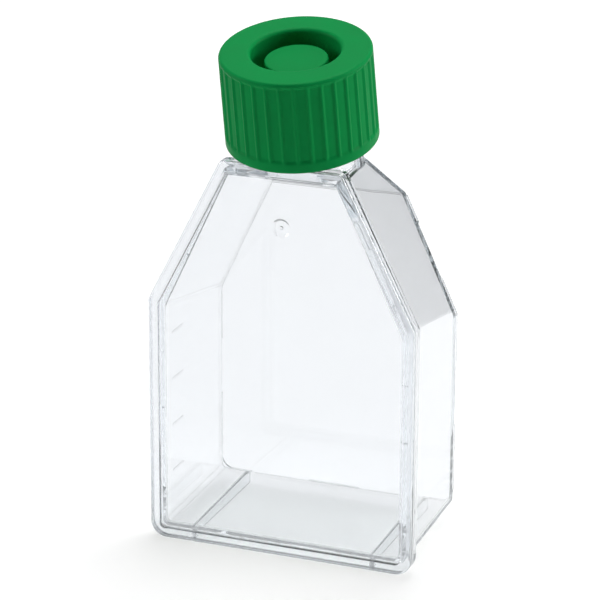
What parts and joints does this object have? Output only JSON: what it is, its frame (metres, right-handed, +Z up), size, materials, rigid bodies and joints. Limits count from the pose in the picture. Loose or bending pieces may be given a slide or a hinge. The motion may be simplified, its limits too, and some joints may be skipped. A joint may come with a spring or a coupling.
{
  "type": "cell culture flask",
  "caption": "Clear upright cell culture flask with sloping shoulders, a welded front plate, a leaning threaded neck and a green plug-seal screw cap.",
  "frame": {"origin": "centre of the bounding box, at the surface that the flask stands on", "axes": "+Z up along the straight sides, +Y from the front plate to the back wall, +X to the right seen from the plate"},
  "size_m": [0.0524, 0.0364, 0.0992],
  "materials": {
    "clear_polystyrene": "clear, moulded, polished",
    "clear_polystyrene_plate": "clear, moulded, polished",
    "green_cap_plastic": "moulded, satin",
    "white_seal": "moulded, dull"
  },
  "bodies": {
    "flask": {"flask_body": "clear_polystyrene", "front_plate": "clear_polystyrene_plate"},
    "seal": {"sealing_ring": "white_seal"},
    "cap": {"screw_cap": "green_cap_plastic"}
  },
  "joints": [
    {"name": "cap_lift", "type": "slide", "parent": "flask", "child": "seal", "axis": [0, -0.2147, 0.9767], "range_m": [0, 0.024]},
    {"name": "cap_turn", "type": "hinge", "parent": "seal", "child": "cap", "pos_m": [0, -0.00087, 0.07886], "axis": [0, -0.2147, 0.9767], "range_deg": [0, 1440]}
  ],
  "couplings": [
    {"joint": "cap_lift", "follows": "cap_turn", "m_per_rad": 0.00095493}
  ]
}
